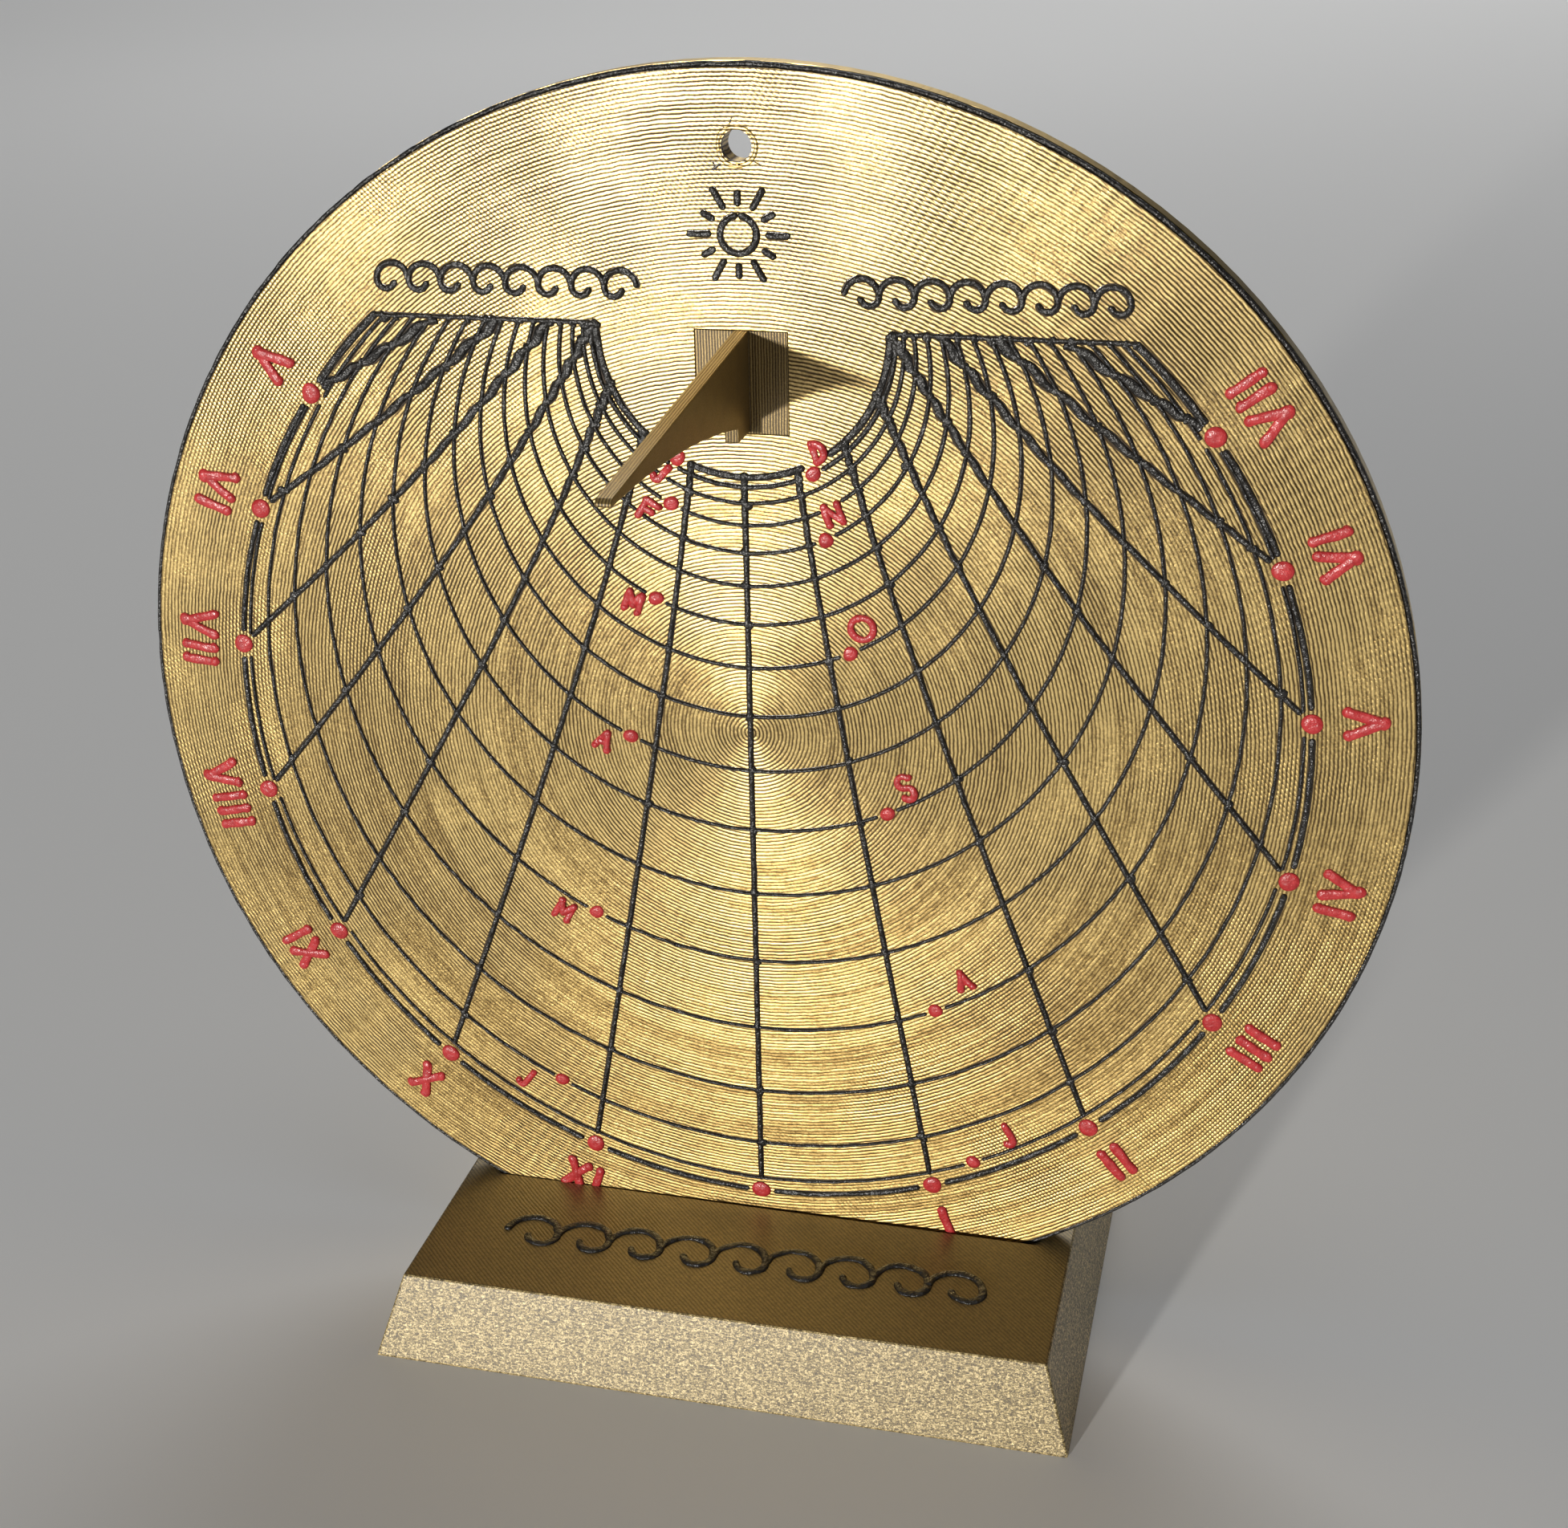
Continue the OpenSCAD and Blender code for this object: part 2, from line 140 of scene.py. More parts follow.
def hour_point(lon, hour):
    """Where an hour line meets the date circle of a solar longitude."""
    # s is the squared sine of the sun's height, and u the shadow's drop below the pole.
    angle = np.radians(15 * (hour - NOON))
    lat, dec, n = np.radians(LATITUDE), declination(lon), noon_drop(lon)
    sine = np.sin(lat) * np.sin(dec) + np.cos(lat) * np.cos(dec) * np.cos(angle)
    s = max(0.0, sine) ** 2
    root = np.sqrt((s * (n - POLE_GAP)) ** 2 + 4 * s * (NODUS_H ** 2 + n * POLE_GAP))
    u = (s * (n - POLE_GAP) + root) / 2
    return np.array([np.sign(angle) * np.sqrt(max(0.0, (n - u) * (u + POLE_GAP))), POLE_Y - u])


def sunrise_lon(hour):
    """The solar longitude at which the sun rises or sets at an hour."""
    angle = np.radians(15 * (hour - NOON))
    dec = np.arctan(-np.cos(angle) / np.tan(np.radians(LATITUDE)))
    return np.degrees(np.arcsin(np.clip(np.sin(dec) / np.sin(np.radians(OBLIQUITY)), -1, 1)))


def hour_mark(hour):
    """An hour's dot, on the midsummer ring."""
    return hour_point(90, hour)


# Placing.
def on_plate(points):
    """Plate coordinates in millimetres to the row frame in metres."""
    p = np.asarray(points, float)
    return np.c_[p[:, 0] * MM, FACE_Y - p[:, 2] * MM, DISC_Z + p[:, 1] * MM]


def on_plinth(points):
    """Like on_plate, for what lies on the plinth's top in front of the plate."""
    p = np.asarray(points, float)
    low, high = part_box("plinth_scroll")
    middle = (low.y + high.y) / 2
    crest_shift = PLINTH_SCROLL_R * (1 - SCROLL_CURL) / 2
    return np.c_[p[:, 0] * MM, middle + (p[:, 1] - crest_shift) * MM, PLINTH_TOP + p[:, 2] * MM]


def turned(points, degrees, centre=(0.0, 0.0)):
    """Points turned about the origin, then moved to a centre."""
    a = np.radians(degrees)
    p = np.asarray(points, float)
    return np.c_[p[:, 0] * np.cos(a) - p[:, 1] * np.sin(a) + centre[0],
                 p[:, 0] * np.sin(a) + p[:, 1] * np.cos(a) + centre[1]]


def arc_points(radius, start, end, centre=(0.0, 0.0), step=6.0):
    """An arc between two angles in degrees, with its points about step degrees apart."""
    count = max(3, int(abs(end - start) / step) + 1)
    a = np.radians(np.linspace(start, end, count))
    return np.c_[centre[0] + radius * np.cos(a), centre[1] + radius * np.sin(a)]


# Mesh helpers.
def new_object(name, verts, faces, body, material):
    """A smooth mesh with its material and the body that it rides."""
    mesh = bpy.data.meshes.new(name)
    mesh.from_pydata([tuple(v) for v in verts], [], faces)
    mesh.validate()
    mesh.update()
    mesh.shade_smooth()
    obj = bpy.data.objects.new(name, mesh)
    bpy.context.scene.collection.objects.link(obj)
    obj.data.materials.append(material)
    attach(obj, body)
    return obj


class Wobble:
    """A smooth random curve along a bead, the same on every run."""

    COUNT = 4096

    def __init__(self, seed, pitch):
        self.values = np.random.default_rng(seed).normal(size=self.COUNT)
        self.pitch = pitch

    def __call__(self, s):
        t = np.asarray(s) / self.pitch
        i = np.floor(t).astype(int)
        f = t - i
        f = f * f * (3 - 2 * f)
        v = self.values
        return v[i % self.COUNT] * (1 - f) + v[(i + 1) % self.COUNT] * f


def resample(path, step):
    """A path's points at an even step, and how far along the path each one is."""
    path = np.asarray(path, float)
    seg = np.linalg.norm(np.diff(path, axis=0), axis=1)
    path = path[np.r_[True, seg > 1e-6]]
    s = np.r_[0, np.cumsum(np.linalg.norm(np.diff(path, axis=0), axis=1))]
    count = max(3, int(s[-1] / step) + 1)
    at = np.linspace(0, s[-1], count)
    return np.c_[np.interp(at, s, path[:, 0]), np.interp(at, s, path[:, 1])], at


class Beads:
    """Collects half-round printed strokes and drops into one mesh."""

    SECTION = 9
    # Share by which a bead's width, height and way wander, and over how many millimetres.
    WIDTH_WANDER, WIDTH_REACH = 0.07, 0.9
    HEIGHT_WANDER, HEIGHT_REACH = 0.16, 1.3
    WAY_WANDER, WAY_REACH = 0.035, 1.6
    NARROWEST, WIDEST = 0.6, 2.5
    LOWEST, HIGHEST = 0.55, 1.2
    # A stroke's two rounded ends together take less than its length, and are never a point.
    END_DIVISOR, TIP_SHARE, END_HEIGHT = 2.2, 0.0016, 0.35
    # The step at which a short or a long path is followed.
    FINE_STEP, COARSE_STEP, LONG = 0.02, 0.1, 30
    # How far from a stroke's end its rings lie, in half widths, and a drop's ring radii.
    END_RINGS = np.array([0.0, 0.06, 0.2, 0.45, 0.75, 1.0])
    DROP_RINGS = np.array([1.0, 0.97, 0.86, 0.66, 0.38, 0.12])
    DROP_CROWN, DIMPLE_R = 2.4, 0.35

    def __init__(self, seed, lump=1.0, crown=BLACK_CROWN):
        self.verts, self.faces = [], []
        self.seed, self.lump, self.crown, self.count = seed, lump, crown, 0

    def stroke(self, path, width, height, step=0.32, swell=None, sway=None, base=0.0, cap=True):
        """One bead along a path. swell and sway change its width and its way by place,
        base is the height that it starts from, and a closed ring has no cap."""
        at = resample(path, step)[1]
        length = at[-1]
        ends = width / 2
        near = self.END_RINGS * min(ends, length / self.END_DIVISOR)
        extra = np.r_[near, length - near]
        at = np.unique(np.round(np.r_[at[(at > ends) & (at < length - ends)], extra], 5))
        full = resample(path, self.FINE_STEP if length < self.LONG else self.COARSE_STEP)
        pts = np.c_[np.interp(at, full[1], full[0][:, 0]), np.interp(at, full[1], full[0][:, 1])]
        direction = np.gradient(pts, axis=0)
        direction /= np.maximum(np.linalg.norm(direction, axis=1), 1e-9)[:, None]
        side = np.c_[-direction[:, 1], direction[:, 0]]
        self.count += 1
        key = self.seed * 1000 + self.count
        wide = 1 + self.WIDTH_WANDER * self.lump * Wobble(key, self.WIDTH_REACH)(at)
        tall = 1 + self.HEIGHT_WANDER * self.lump * Wobble(key + 500, self.HEIGHT_REACH)(at)
        drift = self.WAY_WANDER * self.lump * Wobble(key + 700, self.WAY_REACH)(at)
        if swell is not None:
            wide = wide * swell(pts)
        if sway is not None:
            drift = drift + sway(pts)
        if cap:
            t = np.clip(np.minimum(at, length - at) / ends, 0, 1)
            round_end = np.sqrt(np.clip(1 - (1 - t) ** 2, self.TIP_SHARE, 1))
        else:
            round_end = np.ones(len(at))
        half = width / 2 * np.clip(wide, self.NARROWEST, self.WIDEST) * round_end
        rise = self.END_HEIGHT + (1 - self.END_HEIGHT) * round_end
        top = height * np.clip(tall, self.LOWEST, self.HIGHEST) * rise
        angle = np.linspace(0, np.pi, self.SECTION)
        start = len(self.verts)
        for p, n, h, z, d in zip(pts, side, half, top, drift):
            for a in angle:
                q = p + n * (np.cos(a) * h + d)
                self.verts.append((q[0], q[1], base + z * np.sin(a) ** self.crown))
        rows, k = len(pts), self.SECTION
        for i in range(rows - 1):
            for j in range(k - 1):
                a = start + i * k + j
                self.faces.append((a, a + 1, a + k + 1, a + k))
            self.faces.append((start + i * k + k - 1, start + i * k, start + (i + 1) * k,
                               start + (i + 1) * k + k - 1))
        self.faces.append(tuple(start + j for j in range(k)))
        self.faces.append(tuple(start + (rows - 1) * k + k - 1 - j for j in range(k)))

    def drop(self, centre, radius, height, dimple=0.0, sides=18, uneven=0.06):
        """A round blob where the nozzle stopped."""
        self.count += 1
        wave = np.random.default_rng(self.seed * 1000 + self.count).normal(size=6) * uneven
        start = len(self.verts)
        for level in self.DROP_RINGS:
            z = height * np.sqrt(max(0.0, 1 - level ** self.DROP_CROWN))
            z -= dimple * np.exp(-(level / self.DIMPLE_R) ** 2)
            for i in range(sides):
                a = 2 * np.pi * i / sides
                r = radius * level * (1 + wave[0] * np.cos(a) + wave[1] * np.sin(a)
                                      + wave[2] * np.cos(2 * a) + wave[3] * np.sin(2 * a)
                                      + 0.6 * wave[4] * np.cos(3 * a))
                self.verts.append((centre[0] + r * np.cos(a), centre[1] + r * np.sin(a), z))
        self.verts.append((centre[0], centre[1], height - dimple))
        top = len(self.verts) - 1
        for k in range(len(self.DROP_RINGS) - 1):
            for i in range(sides):
                a = start + k * sides + i
                b = start + k * sides + (i + 1) % sides
                self.faces.append((a, b, b + sides, a + sides))
        last = start + (len(self.DROP_RINGS) - 1) * sides
        for i in range(sides):
            self.faces.append((last + i, last + (i + 1) % sides, top))
        self.faces.append(tuple(start + sides - 1 - i for i in range(sides)))

    def build(self, name, slot, material, replaces=(), body="dial", place=on_plate):
        obj = new_object(name, place(self.verts), self.faces, body, material)
        if replaces:
            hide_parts(*replaces)


# Materials.
class Nodes:
    """Short ways to add and join shader nodes."""

    def __init__(self, name):
        self.material = bpy.data.materials.new(name)
        self.material.use_nodes = True
        self.tree = self.material.node_tree
        self.shader = self.tree.nodes["Principled BSDF"]

    def add(self, kind, **inputs):
        node = self.tree.nodes.new(kind)
        for key, value in inputs.items():
            self.join(value, node.inputs[key.replace("_", " ")])
        return node

    def join(self, value, socket):
        if isinstance(value, bpy.types.NodeSocket):
            self.tree.links.new(value, socket)
        else:
            socket.default_value = value

    def math(self, kind, a, b=0.0, c=0.0):
        node = self.tree.nodes.new("ShaderNodeMath")
        node.operation = kind
        for value, socket in zip((a, b, c), node.inputs):
            self.join(value, socket)
        return node.outputs[0]

    def vector(self, kind, a, b=(0, 0, 0)):
        node = self.tree.nodes.new("ShaderNodeVectorMath")
        node.operation = kind
        self.join(a, node.inputs[0])
        self.join(b, node.inputs[1])
        return node.outputs["Value"] if kind in ("LENGTH", "DOT_PRODUCT") else node.outputs["Vector"]

    def noise(self, vector, scale, detail=2.0, rough=0.5):
        node = self.add("ShaderNodeTexNoise", Vector=vector, Scale=scale, Detail=detail, Roughness=rough)
        return node.outputs["Fac"]

    def ramp(self, value, *stops):
        node = self.tree.nodes.new("ShaderNodeValToRGB")
        self.join(value, node.inputs[0])
        elements = node.color_ramp.elements
        while len(elements) < len(stops):
            elements.new(0.5)
        for element, (at, colour) in zip(elements, stops):
            element.position = at
            element.color = (*colour, 1)
        return node.outputs["Color"]

    def waves(self, at, rate):
        """Rounded ridges: at times rate is the angle, and half a turn is one ridge."""
        return self.math("ABSOLUTE", self.math("SINE", self.math("MULTIPLY", at, rate)))

    def bump(self, height, distance):
        node = self.add("ShaderNodeBump", Strength=1.0, Distance=distance, Height=height)
        return node.outputs["Normal"]

    def finish(self, **inputs):
        for key, value in inputs.items():
            self.join(value, self.shader.inputs[key.replace("_", " ")])
        return self.material


# Colours of the dark, middle and light tones, for the plate, the plinth and the fin. On the plate's
# ridges the dark tone is painted shade in the valleys and the light tone painted highlight on the crests.
GOLD_DEEP = (0.10, 0.055, 0.012)
GOLD_MID = (0.38, 0.252, 0.078)
GOLD_LIGHT = (0.79, 0.58, 0.225)
BLOCK_DEEP = (0.10, 0.07, 0.025)
BLOCK_MID = (0.38, 0.28, 0.105)
BLOCK_LIGHT = (0.95, 0.76, 0.40)
FIN_DEEP = (0.085, 0.05, 0.012)
FIN_MID = (0.36, 0.245, 0.08)
FIN_LIGHT = (0.88, 0.67, 0.30)


def millimetres(n):
    """Object coordinates in millimetres, from the plate's centre."""
    where = n.add("ShaderNodeTexCoord").outputs["Object"]
    centred = n.vector("SUBTRACT", where, (0, 0, DISC_Z))
    scale = n.tree.nodes.new("ShaderNodeVectorMath")
    scale.operation = "SCALE"
    n.join(centred, scale.inputs[0])
    scale.inputs["Scale"].default_value = 1 / MM
    return scale.outputs["Vector"]


def grey(level):
    return (level,) * 3


def chance(n, value):
    """A random number for each whole value."""
    node = n.tree.nodes.new("ShaderNodeTexWhiteNoise")
    node.noise_dimensions = "1D"
    n.join(value, node.inputs["W"])
    return node.outputs["Value"]


def gold_rings(name, depth=0.07, mottle=1.0):
    """Silky gold plastic laid in concentric strokes round the plate's centre."""
    n = Nodes(name)
    place = millimetres(n)
    split = n.add("ShaderNodeSeparateXYZ", Vector=place)
    flat = n.add("ShaderNodeCombineXYZ", X=split.outputs["X"], Y=split.outputs["Z"])
    radius = n.vector("LENGTH", flat.outputs[0])

    # The strokes wander and ripple a little, as the nozzle did.
    wander = n.noise(place, 0.12, 2)
    ripple = n.noise(place, 0.8, 1)
    turn = n.math("ADD", n.math("DIVIDE", radius, PRINT_PITCH), n.math("MULTIPLY", wander, 0.5))
    turn = n.math("MULTIPLY_ADD", ripple, 0.45, turn)
    ridge = n.waves(turn, np.pi)
    index = n.math("FLOOR", turn)
    each = chance(n, index)

    # Along one stroke the height and sheen drift, in long reaches and in short dashes.
    way = n.vector("MULTIPLY", n.vector("NORMALIZE", flat.outputs[0]), (5.0, 5.0, 5.0))
    reach_shift = n.add("ShaderNodeCombineXYZ", Z=n.math("MULTIPLY", index, 3.7))
    drift = n.noise(n.vector("ADD", way, reach_shift.outputs[0]), 1.0, 2)
    along = n.vector("MULTIPLY", flat.outputs[0], (0.7, 0.7, 0.7))
    dash_shift = n.add("ShaderNodeCombineXYZ", Z=n.math("MULTIPLY", index, 7.3))
    dash = n.noise(n.vector("ADD", along, dash_shift.outputs[0]), 1.0, 2, 0.6)
    fleck = n.noise(place, 4.0, 2, 0.8)
    cloud = n.noise(place, 0.035, 3, 0.55)

    # The slanting strokes of the layer below show through, like a weave.
    across = n.math("ADD", split.outputs["X"], split.outputs["Z"])
    slant = n.math("DIVIDE", across, PRINT_PITCH * DIAGONAL)
    weave = n.waves(n.math("ADD", slant, wander), np.pi)
    patch = n.ramp(n.noise(place, 0.06, 2), (0.42, grey(0.0)), (0.6, grey(1.0)))
    rim = n.ramp(n.math("DIVIDE", radius, 100.0), (0.35, grey(0.2)), (0.66, grey(1.0)))
    woven = n.math("MULTIPLY", patch, rim)

    # In some places the ridges stand out, in others they sink into a fine fleck.
    strong = n.ramp(n.noise(place, 0.055, 2, 0.6), (0.4, grey(0.55)), (0.58, grey(1.15)))
    weak = n.math("SUBTRACT", 1.5, strong)
    relief = n.math("MULTIPLY", n.math("MULTIPLY_ADD", each, 0.5, 0.6), strong)
    height = n.math("MULTIPLY", n.math("POWER", ridge, 0.75), relief)
    weak_fleck, woven_weave = n.math("MULTIPLY", fleck, weak), n.math("MULTIPLY", weave, woven)
    for part, share in ((drift, 0.2), (dash, 0.35), (weak_fleck, 0.5), (woven_weave, 0.35)):
        height = n.math("ADD", height, n.math("MULTIPLY", part, share))
    normal = n.bump(height, depth * MM)
    skin = n.bump(height, 0.4 * depth * MM)

    # Painted highlight and painted shade: crests are painted light and valleys dark. Whole strokes, and
    # groups of them, differ in tone.
    group = chance(n, n.math("FLOOR", n.math("DIVIDE", turn, 5.3)))
    painted_ridge_light_and_shade = n.math("MULTIPLY", n.math("SUBTRACT", n.math("POWER", ridge, 1.2), 0.58), strong)
    tone = n.math("MULTIPLY_ADD", painted_ridge_light_and_shade, 1.05, 0.61)
    for uneven, share in ((each, 0.22), (group, 0.16), (drift, 0.6), (dash, 0.8)):
        tone = n.math("MULTIPLY_ADD", n.math("SUBTRACT", uneven, 0.5), share * mottle, tone)
    specks = n.math("MULTIPLY", n.math("SUBTRACT", fleck, 0.5), weak)
    tone = n.math("MULTIPLY_ADD", specks, 1.5 * mottle, tone)
    tone = n.math("MULTIPLY_ADD", n.math("SUBTRACT", cloud, 0.5), 0.5 * mottle, tone)
    tone = n.math("MULTIPLY_ADD", n.math("MULTIPLY", n.math("SUBTRACT", weave, 0.6), woven), 0.3, tone)
    colour = n.ramp(tone, (0.0, GOLD_DEEP), (0.5, GOLD_MID), (1.0, GOLD_LIGHT))
    rough = n.math("MULTIPLY_ADD", fleck, 0.2, 0.29)
    tangent = n.tree.nodes.new("ShaderNodeTangent")
    tangent.direction_type = "RADIAL"
    tangent.axis = "Y"
    return n.finish(Base_Color=colour, Roughness=rough, Metallic=0.88, Normal=normal,
                    Anisotropic=0.55, Anisotropic_Rotation=0.25, Tangent=tangent.outputs[0],
                    Coat_Weight=0.55, Coat_Roughness=0.33, Coat_Normal=skin)


def gold_block(name):
    """Gold plastic with layer lines on its flanks and raster lines on its top, and painted shade that
    darkens its flat top.
    """
    n = Nodes(name)
    place = millimetres(n)
    split = n.add("ShaderNodeSeparateXYZ", Vector=place)
    normal_in = n.add("ShaderNodeNewGeometry").outputs["Normal"]
    up = n.add("ShaderNodeSeparateXYZ", Vector=normal_in).outputs["Z"]
    flatness = n.math("GREATER_THAN", n.math("ABSOLUTE", up), 0.9)
    layer = n.waves(split.outputs["Z"], np.pi / LAYER_H)
    raster_at = n.math("ADD", split.outputs["X"], split.outputs["Y"])
    raster_at = n.math("ADD", raster_at, n.math("MULTIPLY", n.noise(place, 0.2, 2), 0.4))
    raster = n.waves(raster_at, np.pi / PRINT_PITCH / DIAGONAL)
    lines = n.math("ADD", n.math("MULTIPLY", layer, n.math("SUBTRACT", 1.0, flatness)),
                   n.math("MULTIPLY", raster, flatness))
    # A coarse grain, drawn out along the layers, with painted glints.
    flat = n.vector("MULTIPLY", place, (0.7, 0.7, 1.3))
    grain = n.noise(flat, 3.0, 3, 0.8)
    fleck = n.noise(place, 5.5, 2, 0.7)
    # Bright specks in the colour are painted glints: painted highlight.
    painted_glints = n.ramp(n.noise(place, 3.6, 1, 0.5), (0.58, grey(0.0)), (0.68, grey(1.0)))
    grainy = n.math("MULTIPLY_ADD", flatness, -0.85, 1.0)
    rugged = n.math("ADD", n.math("MULTIPLY", grain, 2.4), n.math("MULTIPLY", fleck, 1.2))
    height = n.math("ADD", n.math("MULTIPLY", lines, 0.4), n.math("MULTIPLY", rugged, grainy))
    speckle = n.math("MULTIPLY_ADD", grain, 3.4, n.math("MULTIPLY_ADD", fleck, 1.6, -2.5))
    speckle = n.math("MULTIPLY_ADD", painted_glints, 0.5, speckle)
    # Painted shade: flat faces, such as the plinth's top, are made darker.
    base = n.math("MULTIPLY_ADD", flatness, -0.22, 0.4)
    tone = n.math("ADD", n.math("MULTIPLY", speckle, grainy), base)
    tone = n.math("MULTIPLY_ADD", n.math("SUBTRACT", lines, 0.5), 0.25, tone)
    colour = n.ramp(tone, (0.05, BLOCK_DEEP), (0.5, BLOCK_MID), (0.95, BLOCK_LIGHT))
    return n.finish(Base_Color=colour, Roughness=n.math("MULTIPLY_ADD", fleck, 0.3, 0.3),
                    Metallic=0.62, Normal=n.bump(height, 0.07 * MM), Coat_Weight=0.8, Coat_Roughness=0.42)


def gold_upright(name):
    """Gold plastic printed on its side: its layer lines stand upright on the foot. Its tone is held low,
    painted shade that keeps the gnomon darker than the plate.
    """
    n = Nodes(name)
    place = millimetres(n)
    split = n.add("ShaderNodeSeparateXYZ", Vector=place)
    uneven = n.noise(place, 0.5, 2)
    at = n.math("ADD", split.outputs["X"], n.math("MULTIPLY", uneven, 0.12))
    layer = n.waves(at, np.pi / FIN_LAYER)
    each = chance(n, n.math("FLOOR", n.math("DIVIDE", at, FIN_LAYER)))
    grain = n.noise(place, 5.0, 3, 0.7)
    height = n.math("ADD", layer, n.math("MULTIPLY", grain, 0.6))
    # The low offset darkens the whole gnomon: painted shade.
    tone = n.math("MULTIPLY_ADD", layer, 0.3, n.math("MULTIPLY_ADD", grain, 0.8, -0.35))
    tone = n.math("ADD", tone, n.math("MULTIPLY", each, 0.16))
    colour = n.ramp(tone, (0.05, FIN_DEEP), (0.5, FIN_MID), (0.95, FIN_LIGHT))
    return n.finish(Base_Color=colour, Roughness=0.36, Metallic=0.62,
                    Normal=n.bump(height, 0.06 * MM), Coat_Weight=0.5, Coat_Roughness=0.4)


def bead_material(name, dark, light, roughness, grain_depth, coat_roughness=0.14):
    """Glossy plastic that drifts between two tones, with a fine grain."""
    n = Nodes(name)
    place = millimetres(n)
    cloud = n.noise(place, 0.9, 3, 0.6)
    grain = n.noise(place, 1.3, 3, 0.6)
    colour = n.ramp(cloud, (0.3, dark), (0.7, light))
    rough = n.math("MULTIPLY_ADD", grain, 0.3, roughness)
    normal = n.bump(grain, grain_depth * MM)
    return n.finish(Base_Color=colour, Roughness=rough, Normal=normal, Coat_Weight=0.35,
                    Coat_Roughness=coat_roughness, Coat_Normal=normal)


FACE_GOLD = gold_rings("gold_rings")
BACK_GOLD = gold_rings("gold_back_rings", depth=0.04, mottle=0.3)
BLOCK_GOLD = gold_block("gold_block")
FIN_GOLD = gold_upright("gold_upright")
BLACK = bead_material("black_beads", (0.004, 0.0035, 0.003), (0.016, 0.014, 0.012), 0.25, 0.4, 0.2)
RED = bead_material("red_beads", (0.36, 0.014, 0.017), (0.55, 0.036, 0.040), 0.3, 0.2)
# Dark brown for the strips of painted shade beside the black lines, and for the scratch marks.
PAINTED_SHADE_AND_SCRATCHES = bead_material("groove_shade", (0.02, 0.011, 0.004), (0.045, 0.026, 0.009), 0.6, 0.05)

GOLD_SLOT, BLACK_SLOT, RED_SLOT = "gold_plastic", "black_plastic", "red_plastic"


def repaint(node, material):
    nodes[node].data.materials.clear()
    nodes[node].data.materials.append(material)


repaint("plate_face", FACE_GOLD)
repaint("plate_back", BACK_GOLD)
repaint("plate_black_layer", BLACK)


# Red marks.
# Month letters: letter, longitude of its date line, side of noon, reach from the dot in
# letter heights, the reach's direction, the letter's tilt and its size in letter heights,
# as on the part.
MONTHS = {
    "january": ("J", -80, -1, 0.92, -140, -40, 1),
    "february": ("F", -50, -1, 0.95, -160, -30, 1),
    "march": ("M", -20, -1, 0.92, -167, -20, 1),
    "april": ("A", 10, -1, 1.15, -165, -25, 1),
    "may": ("M", 40, -1, 1.4, -177, -30, 1.05),
    "june": ("J", 70, -1, 1.7, -177, -35, 1.15),
    "july": ("J", 80, 1, 2, 48, 30, 1.2),
    "august": ("A", 50, 1, 1.9, 54, 25, 1),
    "september": ("S", 20, 1, 1.4, 58, 25, 1.3),
    "october": ("O", -10, 1, 1.15, 66, 22, 1.25),
    "november": ("N", -40, 1, 1.05, 73, 18, 1),
    "december": ("D", -70, 1, 0.95, 70, 18, 1),
}
# A path of more points is a curve. Blobs are in shares of their bead's width and height.
MOST_CORNERS = 6
BLOB_R, BLOB_H, BLOB_SIDES = 0.54, 1.06, 14


def red_stroke(beads, path, width, corner=1.0):
    """Straight legs are laid one by one, a curve in one go, with round blobs at the ends."""
    curved = len(path) > MOST_CORNERS
    legs = [path] if curved else list(zip(path[:-1], path[1:]))
    for leg in legs:
        beads.stroke(extend(leg, width / 2), width, RED_BEAD_H, step=0.25)
    for joint in path[[0, -1]]:
        beads.drop(joint, width * BLOB_R, RED_BEAD_H * BLOB_H, sides=BLOB_SIDES)
    for joint in () if curved else path[1:-1]:
        beads.drop(joint, width * BLOB_R * corner, RED_BEAD_H * BLOB_H, sides=BLOB_SIDES)


def month_dot(month):
    return hour_point(month[1], NOON + month[2] * MONTH_HOUR)


def letter_centre(month):
    a = np.radians(month[4])
    return month_dot(month) + LETTER_H * month[3] * np.array([np.cos(a), np.sin(a)])


def letter_strokes(letter, a, b):
    """Strokes of a month letter in a box of half width a and half height b."""
    return {
        "J": [np.r_[[[a / 2, b]], arc_points(a / 2, 0, -160, (0, -b + a / 2))]],
        "F": [[(-a, -b), (-a, b), (a, b)], [(-a, 0), (a / 2, 0)]],
        "M": [[(-a, -b), (-a, b), (0, -b / 3), (a, b), (a, -b)]],
        "A": [[(-a, -b), (0, b), (a, -b)], [(-a / 2, -b / 4), (a / 2, -b / 4)]],
        "S": [np.r_[arc_points(b / 2, 30, 270, (0, b / 2)), arc_points(b / 2, 90, -150, (0, -b / 2))]],
        "O": [arc_points(b - 0.1, 90, 448)],
        "N": [[(-a, -b), (-a, b), (a, -b), (a, b)]],
        "D": [arc_points(b, -90, 90, (-a, 0)), [(-a, b), (-a, -b)]],
    }[letter]


def month_strokes(month):
    """A month letter's strokes on the plate."""
    half = (LETTER_H * month[6] - LETTER_W) / 2
    for stroke in letter_strokes(month[0], half * 0.75, half):
        yield turned(stroke, month[5], letter_centre(month))


# Room that each numeral's strokes take along the ring, and the gap in it, in numeral
# heights. The blob at a corner is larger than those at the ends.
ADVANCE = {"I": 0.38, "V": 0.88, "X": 0.78}
ADVANCE_GAP = 0.32
APEX_BLOB = 1.3
ROMAN = ["XII", "I", "II", "III", "IV", "V", "VI", "VII", "VIII", "IX", "X", "XI"]


def roman_strokes(letter, w, h):
    return {
        "I": [[(0, -h / 2), (0, h / 2)]],
        "V": [[(-w / 2, h / 2), (0, -h / 2), (w / 2, h / 2)]],
        "X": [[(-w / 2, -h / 2), (w / 2, h / 2)], [(-w / 2, h / 2), (w / 2, -h / 2)]],
    }[letter]


